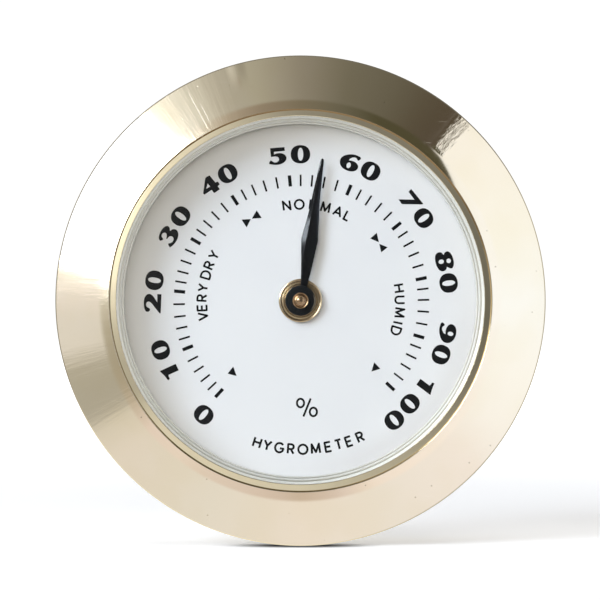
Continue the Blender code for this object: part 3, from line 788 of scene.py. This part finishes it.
sp = SPACER_Y0
spacer = [
    (STACK_R - 0.02, sp), (STACK_R - 0.02, SPACER_Y1), (16.27, SPACER_Y1),
    (16.27, sp + 0.52), (16.30, sp + 0.46), (16.355, sp + 0.47), (16.375, sp + 0.54),
    (16.415, sp + 0.54), (16.44, sp + 0.30), (16.48, sp + 0.19), (16.54, sp + 0.15),
    (16.61, sp + 0.17), (16.645, sp + 0.24), (16.665, sp + 0.30), (16.705, sp + 0.30),
    (16.725, sp + 0.12), (16.90, sp + 0.02), (16.94, sp)]
add("spacer_ring", revolve(spacer, SEG, cx=RING_X, cz=RING_Z), M_WHITE, "case",
    ["dial_spacer_ring"], 28)

add("dial_face", revolve([
    (STACK_R - 0.02, DIAL_Y + 0.02), (STACK_R - 0.02, DIAL_Y + 0.5), (1.5, DIAL_Y + 0.5),
    (1.5, DIAL_Y + 0.03), (1.53, DIAL_Y), (STACK_R - 0.04, DIAL_Y)], 192),
    M_DIAL, "case", ["dial_plate"], 30)

# ---------------------------------------------------------------- the printing
PX, PZ = 0.078, -0.189       # the print is a little off the pointer's axis
U = 0.09229                  # one print unit in mm
INK_TOP, INK_LOW = DIAL_Y - 0.010, DIAL_Y + 0.004


def on_circle(deg, radius, inward=False, spin=0.0):
    """Place (u, v) outlines, in mm, upright at a clock angle on the print."""
    t = radians(deg)
    ox, oz = PX + radius * sin(t), PZ + radius * cos(t)
    t2 = t + radians(spin) + (pi if inward else 0.0)
    return lambda u, v: (ox + u * cos(t2) + v * sin(t2), oz - u * sin(t2) + v * cos(t2))


def rect(w, h):
    return [(-w / 2, -h / 2), (w / 2, -h / 2), (w / 2, h / 2), (-w / 2, h / 2)]


def scaled(glyph, k):
    return ([[(x * k, y * k) for x, y in p] for p in glyph[0]],
            [[(x * k, y * k) for x, y in p] for p in glyph[1]])


def mark_angle(percent):
    """Clock angle of a mark: evenly divided."""
    return -138.0 + 2.713 * percent


# marks: ten long steps, each with four fine ones between
MAJOR = {0: -137.7, 10: -111.7, 20: -84.8, 30: -59.8, 40: -33.0, 50: -5.4, 60: 22.9,
         70: 51.2, 80: 78.7, 90: 106.0, 100: 133.3}
ticks = []
for p, a in MAJOR.items():
    ticks.append((([rect(3.4 * U, 11.2 * U)], []), on_circle(a, 122.4 * U)))
for p in range(0, 100, 10):
    a, b = MAJOR[p], MAJOR[p + 10]
    for k in (1, 2, 3, 4):
        # the fine marks crowd a little towards the lower figure
        t = k / 5
        ticks.append((([rect(1.85 * U, 11.6 * U)], []),
                      on_circle(a + (b - a) * (t - 0.035 * sin(pi * t)), 122.4 * U)))
add("scale_marks", ink_bmesh(ticks, INK_TOP, INK_LOW), M_INK, "case",
    smooth=False)

numerals = [
    ("0", -138.95, 148.9), ("1", -117.3, 148.8), ("0", -108.6, 148.7),
    ("2", -89.8, 148.8), ("0", -81.35, 148.8), ("3", -63.5, 148.8), ("0", -54.4, 148.7),
    ("4", -38.15, 148.8), ("0", -29.7, 148.8), ("5", -9.45, 148.8), ("0", -0.35, 148.6),
    ("6", 19.0, 148.8), ("0", 27.75, 148.9), ("7", 47.2, 148.8), ("0", 55.35, 148.9),
    ("8", 73.7, 149.3), ("0", 82.4, 148.8), ("9", 101.8, 149.3), ("0", 110.4, 149.3),
    ("1", 124.15, 150.2), ("0", 132.95, 148.6), ("0", 141.65, 150.0)]
figures = [(scaled(NUM[ch], U), on_circle(a, r * U)) for ch, a, r in numerals]
add("scale_numerals", ink_bmesh(figures, INK_TOP, INK_LOW), M_INK, "case",
    smooth=False)

words = []


def word(letters, radius, height, weight, inward=False):
    for ch, a in letters:
        words.append(((strokes(ch, height * U, weight * U), []),
                      on_circle(a, radius * U, inward)))


word([("N", -8.6), ("O", -1.2), ("R", 6.7), ("M", 14.3), ("A", 21.9), ("L", 28.0)],
     98.4, 9.1, 2.0)
word([("V", -97.9), ("E", -92.9), ("R", -87.3), ("Y", -81.4), ("D", -73.7), ("R", -67.9),
      ("Y", -61.5)], 99.6, 9.1, 2.0)
word([("H", 81.6), ("U", 88.4), ("M", 95.8), ("I", 101.8), ("D", 106.6)], 98.8, 9.3, 2.0)
word([("H", -162.5), ("Y", -166.6), ("G", -171.4), ("R", -175.9), ("O", 179.4),
      ("M", 174.4), ("E", 169.5), ("T", 165.3), ("E", 161.1), ("R", 156.4)],
     146.9, 9.3, 2.15, inward=True)
percent_at = (PX + 5.6 * U, PZ - 105.0 * U)
words.append(((strokes("%", 17.4 * U, 2.1 * U), []),
              lambda u, v: (percent_at[0] + u, percent_at[1] + v)))
add("dial_words", ink_bmesh(words, INK_TOP, INK_LOW), M_INK, "case",
    smooth=False)

# small solid triangles that part the ranges
MARKERS = [
    [(-59.4, 82.9), (-51.1, 83.4), (-54.8, 75.9)], [(-44.7, 91.9), (-49.1, 84.4), (-40.1, 85.0)],
    [(69.5, 64.3), (75.4, 69.4), (77.3, 60.9)], [(78.4, 58.5), (86.0, 55.4), (80.1, 50.8)],
    [(-73.4, -71.0), (-68.3, -64.6), (-65.2, -73.1)], [(73.1, -60.3), (78.6, -66.1), (70.6, -68.6)]]
tri = []
for pts in MARKERS:
    mu, mv = sum(u for u, v in pts) / 3, sum(v for u, v in pts) / 3
    grown = [((mu + (u - mu) * 1.12) * U, (mv + (v - mv) * 1.12) * U) for u, v in pts]
    tri.append((([grown], []), lambda u, v: (PX + u, PZ + v)))
add("range_markers", ink_bmesh(tri, INK_TOP, INK_LOW), M_INK, "case",
    smooth=False)

# ----------------------------------------------------------- hub and the pointer
by = BUSH_Y0
eyelet = fillet([
    (0.55, by + 0.06, 0.0), (1.365, by + 0.06, 0.0), (1.39, by + 0.02, 0.015),
    (1.44, by + 0.02, 0.015), (1.47, by + 0.08, 0.01), (1.53, by + 0.08, 0.01),
    (1.56, by + 0.04, 0.03), (1.69, by + 0.06, 0.03), (1.73, by + 0.14, 0.015),
    (1.785, by + 0.14, 0.015), (1.815, by + 0.03, 0.03), (1.90, by + 0.0, 0.06),
    (2.015, by + 0.05, 0.075), (2.015, by + 0.30, 0.0), (1.20, by + 0.30, 0.0),
    (1.20, BUSH_END, 0.0), (0.55, BUSH_END, 0.0)], 5)
add("dial_eyelet", revolve(eyelet, 96), M_EYELET, "case",
    ["dial_bushing"], 35)

d0, d1 = ARBOR_Y0, 0.55
dome = [(0.0, d0)]
for k in range(1, 10):
    a = radians(84 * k / 9)
    dome.append((0.435 * sin(a), d0 + 0.25 * (1 - cos(a))))
arbor = dome + [(0.455, d1 + 0.04), (0.50, d1 + 0.06), (0.57, d1 + 0.06), (0.605, d1 + 0.03),
                (0.64, d1 + 0.0), (0.68, d1 - 0.01), (0.715, d1 + 0.01), (0.73, d1 + 0.05),
                (0.73, d1 + 0.18), (0.70, d1 + 0.20), (0.42, d1 + 0.20),
                (0.42, ARBOR_Y1 - 0.2), (0.26, ARBOR_Y1), (0.0, ARBOR_Y1)]
add("pointer_arbor", revolve(arbor, 64, closed=False), M_HEAD, "pointer",
    ["arbor"], 40)

# boss: round disc under the arbor's collar, with a painted highlight along part of its rim
ring_in, ring_out = 0.76, 1.385
boss_prof = fillet([
    (ring_in, POINTER_Y0 + 0.04, 0.0), (ring_out, POINTER_Y0 + 0.05, 0.05),
    (ring_out, POINTER_Y1, 0.02), (ring_in, POINTER_Y1, 0.0)], 4)
boss = add("pointer_boss", revolve(boss_prof, 72), M_BOSS, "pointer",
           (), 40)

# lance: half widths and crease along its length, in mm from the axis
LANCE = [  # station, left, crease, right, crease height
    (0.70, 0.17, -0.07, 0.28, 0.045),
    (1.30, 0.20, -0.09, 0.38, 0.050),
    (1.90, 0.27, -0.15, 0.45, 0.060),
    (2.70, 0.37, -0.24, 0.53, 0.075),
    (3.60, 0.50, -0.36, 0.60, 0.09),
    (4.60, 0.66, -0.37, 0.67, 0.17),
    (5.65, 0.80, -0.33, 0.745, 0.215),
    (6.40, 0.73, -0.30, 0.65, 0.205),
    (7.50, 0.58, -0.26, 0.545, 0.185),
    (8.70, 0.46, -0.23, 0.40, 0.160),
    (10.1, 0.38, -0.22, 0.305, 0.130),
    (11.4, 0.28, -0.17, 0.24, 0.095),
    (12.4, 0.21, -0.10, 0.19, 0.060),
    (12.95, 0.165, -0.04, 0.165, 0.035),
    (13.17, 0.125, -0.02, 0.125, 0.022),
    (13.26, 0.055, 0.0, 0.055, 0.010),
]


def lance_mesh():
    base = POINTER_Y1 - 0.02
    eave = POINTER_Y0 + 0.20
    rows = []
    bm = bmesh.new()
    for s, wl, tc, wr, h in LANCE:
        pts = [(-wl, base), (-wl, eave), (tc, eave - h), (wr * 0.55, eave - h * 0.42),
               (wr, eave), (wr, base)]
        row = []
        for t, y in pts:
            x = (t * cos(REST) + s * sin(REST)) * MM
            z = (-t * sin(REST) + s * cos(REST)) * MM
            row.append(bm.verts.new((x, y * MM, z)))
        rows.append(row)
    m = len(rows[0])
    for a, b in zip(rows, rows[1:]):
        for k in range(m):
            k2 = (k + 1) % m
            bm.faces.new((a[k], a[k2], b[k2], b[k]))
    bm.faces.new(rows[0])
    bm.faces.new(list(reversed(rows[-1])))
    bmesh.ops.recalc_face_normals(bm, faces=bm.faces)
    return bm


lance = add("pointer_lance", lance_mesh(), M_LACQUER, "pointer",
            ["pointer"], 12)
lance.data.set_sharp_from_angle(angle=radians(14))
bev = lance.modifiers.new("edges", "BEVEL")
bev.width, bev.segments, bev.limit_method, bev.angle_limit = 0.000012, 2, "ANGLE", radians(30)

# --------------------------------------------------------- case behind the panel
cy0, cy1 = CAN_LO.y / MM, CAN_HI.y / MM
barrel = fillet([
    (CAN_R, cy0, 0.0), (CAN_R, 2.55, 0.0), (CAN_R - 0.14, 2.68, 0.06),
    (CAN_R - 0.14, 7.30, 0.06), (CAN_R, 7.43, 0.0), (CAN_R, 8.9, 0.0),
    (CAN_R - 0.10, 9.0, 0.04), (CAN_R - 0.10, 9.1, 0.04), (CAN_R, 9.2, 0.0),
    (CAN_R, cy1 - 0.02, 0.34), (CAN_R - 0.5, cy1, 0.05), (16.92, cy1, 0.12),
    (16.92, cy1 - 0.38, 0.10), (CAN_R - 0.5, cy1 - 0.38, 0.0), (CAN_R - 0.5, cy0, 0.0)], 5)
add("barrel_shell", revolve(barrel, SEG), M_BARREL, "case",
    ["case_barrel"], 30)

g0, g1 = GRIP_LO.y / MM, GRIP_HI.y / MM
grip_r = GRIP_HI.x / MM
prof = [(18.30, g0 + 0.06), (18.30, g1 - 0.06), (18.36, g1)]
ribs = 4
pitch = (g1 - g0) / ribs
outer = []
for i in range(ribs):
    base_y = g1 - i * pitch
    for k in range(9):
        t = k / 8
        outer.append((18.62 + 0.48 * sin(pi * (0.06 + 0.88 * t)) ** 0.7, base_y - pitch * t))
prof = prof + outer + [(18.36, g0)]
add("grip_band", revolve(prof, 192), M_RUBBER, "case", ["grip_ring"], 50)

# -------------------------------------------------- finishes on the CAD's pieces
finishes = {
    "bushing_washer": M_EYELET, "chassis_plate": M_PLASTIC, "rear_spacer_sleeve": M_PLASTIC,
    "back_cover": M_PLASTIC, "movement_bridge": M_BRIGHT, "pillar_left": M_BRIGHT,
    "pillar_right": M_BRIGHT, "chassis_screw_left": M_STEEL, "chassis_screw_right": M_STEEL,
    "bridge_screw_left": M_STEEL, "bridge_screw_right": M_STEEL, "regulator_hub": M_BRIGHT,
    "regulator_arm": M_BRIGHT, "coil_anchor_post": M_STEEL, "rear_bearing": M_STEEL,
    "friction_washer": M_STEEL, "retaining_clip": M_STEEL, "coil_collet": M_BRIGHT,
    "humidity_coil": M_COIL,
}
for node, mat in finishes.items():
    ob = NODES[node]
    ob.data.materials.clear()
    ob.data.materials.append(mat)
for node, width in (("back_cover", 0.09), ("movement_bridge", 0.05), ("regulator_hub", 0.04),
                    ("regulator_arm", 0.03), ("bridge_screw_left", 0.04),
                    ("bridge_screw_right", 0.04)):
    ob = NODES[node]
    weld = ob.modifiers.new("weld", "WELD")
    weld.merge_threshold = 1e-6
    bevel = ob.modifiers.new("bevel", "BEVEL")
    bevel.width = width * MM
    bevel.segments = 2
    bevel.limit_method = "ANGLE"
    bevel.angle_limit = radians(40)

# ----------------------------------------------------------------------- studio
FLOOR_Z = CAD_LO[2]


def stage_mesh(name, bm, mat):
    mesh = bpy.data.meshes.new(name)
    bm.to_mesh(mesh)
    bm.free()
    ob = bpy.data.objects.new(name, mesh)
    bpy.context.scene.collection.objects.link(ob)
    mesh.materials.append(mat)
    return ob


def floor_material():
    mat, nt, bsdf = new_mat("floor_white")
    n = Net(nt)
    tc = n.node("ShaderNodeTexCoord")
    paper = n.noise(tc.outputs["Object"], 900.0, 2.0, 0.5)
    n.link(n.smooth(paper, 0.2, 0.8, 0.86, 0.94, "LINEAR"), bsdf.inputs["Roughness"])
    bsdf.inputs["Specular IOR Level"].default_value = 0.0
    bsdf.inputs["Emission Color"].default_value = (1.0, 1.0, 1.0, 1.0)
    # paper sweep: evenly white away from the object
    sep = n.node("ShaderNodeSeparateXYZ")
    n.link(tc.outputs["Object"], sep.inputs[0])
    away = n.math("SQRT", n.math("ADD", n.math("MULTIPLY", sep.outputs[0], sep.outputs[0]),
                                 n.math("MULTIPLY", sep.outputs[1], sep.outputs[1])))
    # painted shade: the floor glows less a few centimetres out from the object than right by it, setting how dark its
    # cast shadow reads
    near = n.smooth(away, 0.018, 0.070, 0.40, 0.275)
    far = n.smooth(away, 0.075, 0.40, 0.0, 0.82)
    # painted shadow: the floor goes nearly black, in colour and glow, where the rim touches it
    long_x = n.math("MULTIPLY", sep.outputs[0], 0.5)
    contact_shadow = n.math("SQRT", n.math("ADD", n.math("MULTIPLY", long_x, long_x),
                                  n.math("MULTIPLY", sep.outputs[1], sep.outputs[1])))
    contact_shadow = n.smooth(contact_shadow, 0.0010, 0.0044, 0.04, 1.0)
    n.link(n.math("MULTIPLY", n.math("ADD", near, far), contact_shadow), bsdf.inputs["Emission Strength"])
    n.link(n.mix(contact_shadow, (0.0, 0.0, 0.0), (0.91, 0.91, 0.91)), bsdf.inputs["Base Color"])
    return mat


bm = bmesh.new()
bmesh.ops.create_circle(bm, cap_ends=True, radius=2.6, segments=96)
floor = stage_mesh("floor", bm, floor_material())
floor.location = (0, 0, FLOOR_Z)
floor.visible_glossy = floor.visible_diffuse = False

back_mat, nt, bsdf = new_mat("backdrop_white")
nt.nodes.remove(bsdf)
emit = nt.nodes.new("ShaderNodeEmission")
emit.inputs["Color"].default_value = (1, 1, 1, 1)
emit.inputs["Strength"].default_value = 1.04
nt.links.new(emit.outputs[0], nt.nodes["Material Output"].inputs["Surface"])
bm = bmesh.new()
rings = []
for rad, zz in ((2.55, -0.03), (2.55, 0.9), (2.2, 1.7), (1.2, 2.35)):
    rings.append([bm.verts.new((rad * cos(2 * pi * k / 64), rad * sin(2 * pi * k / 64), zz))
                  for k in range(64)])
for a, b in zip(rings, rings[1:]):
    for k in range(64):
        bm.faces.new((a[k], a[(k + 1) % 64], b[(k + 1) % 64], b[k]))
bm.faces.new(rings[-1])
wall = stage_mesh("backdrop", bm, back_mat)
for piece in ("glass_retainer", "spacer_ring", "flange_face", "dial_eyelet"):
    bpy.data.objects[piece].visible_diffuse = False
wall.visible_diffuse = wall.visible_glossy = wall.visible_shadow = False
wall.visible_transmission = wall.visible_volume_scatter = False

# world: the soft studio that the polished surfaces reflect
world = bpy.data.worlds.new("studio")
bpy.context.scene.world = world
world.use_nodes = True
world.cycles_visibility.diffuse = False
wn = Net(world.node_tree)
bg = world.node_tree.nodes["Background"]
tc = wn.node("ShaderNodeTexCoord")
sep = wn.node("ShaderNodeSeparateXYZ")
nrmz = wn.node("ShaderNodeVectorMath", operation="NORMALIZE")
wn.link(tc.outputs["Generated"], nrmz.inputs[0])
wn.link(nrmz.outputs[0], sep.inputs[0])
wx, wy, wz = sep.outputs
off_axis = wn.math("MULTIPLY", wn.math("ARCCOSINE", wn.math("MULTIPLY", wy, -1.0)), 180 / pi)
turn = wn.math("DIVIDE", wn.math("ADD", clock(wn, wx, wz), 180.0), 360.0)


def tent(stops, at=turn):
    """Light tent by clock angle: (degrees, brightness or (r, g, b))."""
    return wn.ramp(at, [((d + 180.0) / 360.0, c) for d, c in stops])


# the edge of the big light at the upper right stands at a slant
slant = wn.smooth(off_axis, 42.1, 49.6, 0.0, 10.6, "LINEAR")
slant = wn.math("MULTIPLY", slant, window(wn, turn, 205.0 / 360, 262.0 / 360, 14.0 / 360))
turn_mid = wn.math("ADD", turn, wn.math("DIVIDE", slant, 360.0))


outer_ring = tent([
    (-180, (0.95, 0.93, 1.02)), (-156, (0.88, 0.89, 0.97)), (-130, (0.85, 0.83, 0.88)),
    (-122.5, (0.76, 0.75, 0.76)), (-120, 0.46), (-106, 0.50), (-103, (0.86, 0.86, 0.94)),
    (-96, (0.82, 0.83, 0.92)), (-88, (0.86, 0.84, 0.95)), (-81, (0.96, 0.96, 1.06)),
    (-40, (1.20, 1.20, 1.25)), (-31, (0.85, 0.88, 0.95)), (-24, 0.57), (-18, 0.47),
    (-12, (0.45, 0.45, 0.43)), (0, (0.30, 0.29, 0.28)), (12, (0.19, 0.185, 0.165)),
    (24, (0.15, 0.143, 0.125)), (32, (0.115, 0.102, 0.085)), (41.2, (0.090, 0.072, 0.060)), (42.0, (1.10, 1.14, 1.30)),
    (72, (1.12, 1.20, 1.40)), (90, (1.14, 1.26, 1.58)), (108, (1.13, 1.21, 1.45)),
    (122, (1.10, 1.16, 1.38)), (134, (1.03, 1.03, 1.20)), (156, (0.96, 0.97, 1.10)),
    (180, (0.95, 0.93, 1.02))])
mid_ring = tent([
    (-180, (0.68, 0.60, 0.60)), (-168, (0.78, 0.70, 0.74)), (-150, (0.84, 0.77, 0.80)),
    (-142, (0.92, 0.86, 0.93)), (-130, (0.88, 0.80, 0.86)), (-122, (0.62, 0.57, 0.54)),
    (-118, (0.47, 0.43, 0.38)), (-107, (0.43, 0.41, 0.37)), (-95, (0.51, 0.49, 0.45)),
    (-90, (0.64, 0.62, 0.62)), (-84, (1.05, 1.06, 1.18)), (-40, (1.15, 1.12, 1.20)),
    (-33, (0.95, 0.95, 1.02)), (-26, (0.52, 0.47, 0.43)), (-12, (0.32, 0.28, 0.25)),
    (0, (0.22, 0.20, 0.165)), (12, (0.155, 0.15, 0.125)), (24, (0.092, 0.088, 0.058)),
    (52.3, (0.085, 0.080, 0.052)), (53.0, (1.10, 1.16, 1.36)), (90, (1.14, 1.24, 1.55)),
    (118, (1.11, 1.15, 1.36)), (146, (1.05, 1.01, 1.12)), (158, (1.0, 0.95, 1.04)),
    (170, (0.78, 0.70, 0.75)), (180, (0.68, 0.60, 0.60))], turn_mid)
inner_ring = tent([
    (-180, 0.73), (-156, 0.79), (-134, 0.80), (-126, 0.68), (-119, 0.49), (-108, 0.52),
    (-98, 0.66), (-90, 0.94), (-82, 1.27), (-62, 1.32), (-48, 1.02), (-30, 0.77), (-18, 0.56),
    (-6, 0.37), (0, 0.32), (20, 0.245), (48, 0.24), (66, 0.195), (96, 0.175), (108, 0.20),
    (120, 0.26), (144, 0.45), (160, 0.56), (180, 0.73)])
near_axis = (0.035, 0.035, 0.037)
sky = wn.mix(wn.smooth(off_axis, 8.0, 20.0), near_axis, inner_ring)
sky = wn.mix(wn.smooth(off_axis, 30.0, 35.0), sky, mid_ring)
sky = wn.mix(wn.smooth(off_axis, 47.4, 49.6), sky, outer_ring)
# beyond the tent: grey flats to the sides, white low down and behind, dim ceiling
flats = tent([(-180, 1.0), (-122, 0.95), (-108, 0.34), (-20, 0.30), (20, 0.16), (48, 0.20),
              (70, 0.55), (120, 0.50), (150, 0.55), (168, 0.9), (180, 1.0)])
sky = wn.mix(wn.smooth(off_axis, 58.0, 66.0), sky, flats)
behind = wn.mix(wn.smooth(wz, 0.45, 0.80), (1.0, 1.0, 1.0), (0.55, 0.55, 0.55))
sky = wn.mix(wn.smooth(off_axis, 98.0, 118.0), sky, behind)
wn.link(sky, bg.inputs["Color"])
bg.inputs["Strength"].default_value = 1.0


def area(name, off, clock_deg, dist, size, level, colour=(1, 1, 1), glossy=True,
         disk=False):
    """Softbox seen from the object at an angle off the axis; level is its radiance."""
    light = bpy.data.lights.new(name, "AREA")
    light.shape = "ELLIPSE" if disk else "RECTANGLE"
    light.size, light.size_y = size
    light.energy = level * size[0] * size[1] * pi * (pi / 4 if disk else 1.0)
    light.color = colour
    ob = bpy.data.objects.new(name, light)
    t, c = radians(off), radians(clock_deg)
    d = Vector((sin(t) * sin(c), -cos(t), sin(t) * cos(c)))
    ob.location = d * dist
    ob.rotation_euler = d.to_track_quat("Z", "Y").to_euler()
    ob.visible_glossy = glossy
    bpy.context.scene.collection.objects.link(ob)
    return ob


area("key", 47.5, -60.5, 0.80, (0.47, 0.47), 10.0, (0.930, 1.0, 1.11), disk=True)
area("front_fill", 6.0, -57.0, 1.0, (0.50, 0.50), 11.0, (1.0, 0.915, 0.81), glossy=False)
area("overhead", 78.0, 0.0, 1.1, (0.9, 0.9), 1.6, glossy=False)
area("rear_fill_left", 130.0, -60.0, 1.1, (0.8, 0.8), 1.8, glossy=False)
area("rear_fill_right", 130.0, 60.0, 1.1, (0.8, 0.8), 1.8, glossy=False)

# ----------------------------------------------------------------------- camera
DIST = 0.350
RIM_PX = 245.2
f_px = RIM_PX * (DIST - 0.00035) / (FACE_R * MM)
cam_data = bpy.data.cameras.new("camera")
cam_data.sensor_width = 36.0
cam_data.lens = f_px / 600 * 36.0
cam_data.clip_start, cam_data.clip_end = 0.01, 20.0
cam = bpy.data.objects.new("camera", cam_data)
elev = radians(0.0)
aim = Vector((-0.5 / f_px * DIST, 0.0, 0.6 / f_px * DIST))
back = Vector((0.0, -cos(elev), sin(elev)))
cam.location = aim + back * DIST
cam.rotation_euler = (-back).to_track_quat("-Z", "Y").to_euler()
bpy.context.scene.collection.objects.link(cam)
bpy.context.scene.camera = cam

view = bpy.context.scene.view_settings
view.view_transform = "Standard"
view.look = "None"
view.exposure = 0.0
view.gamma = 1.0
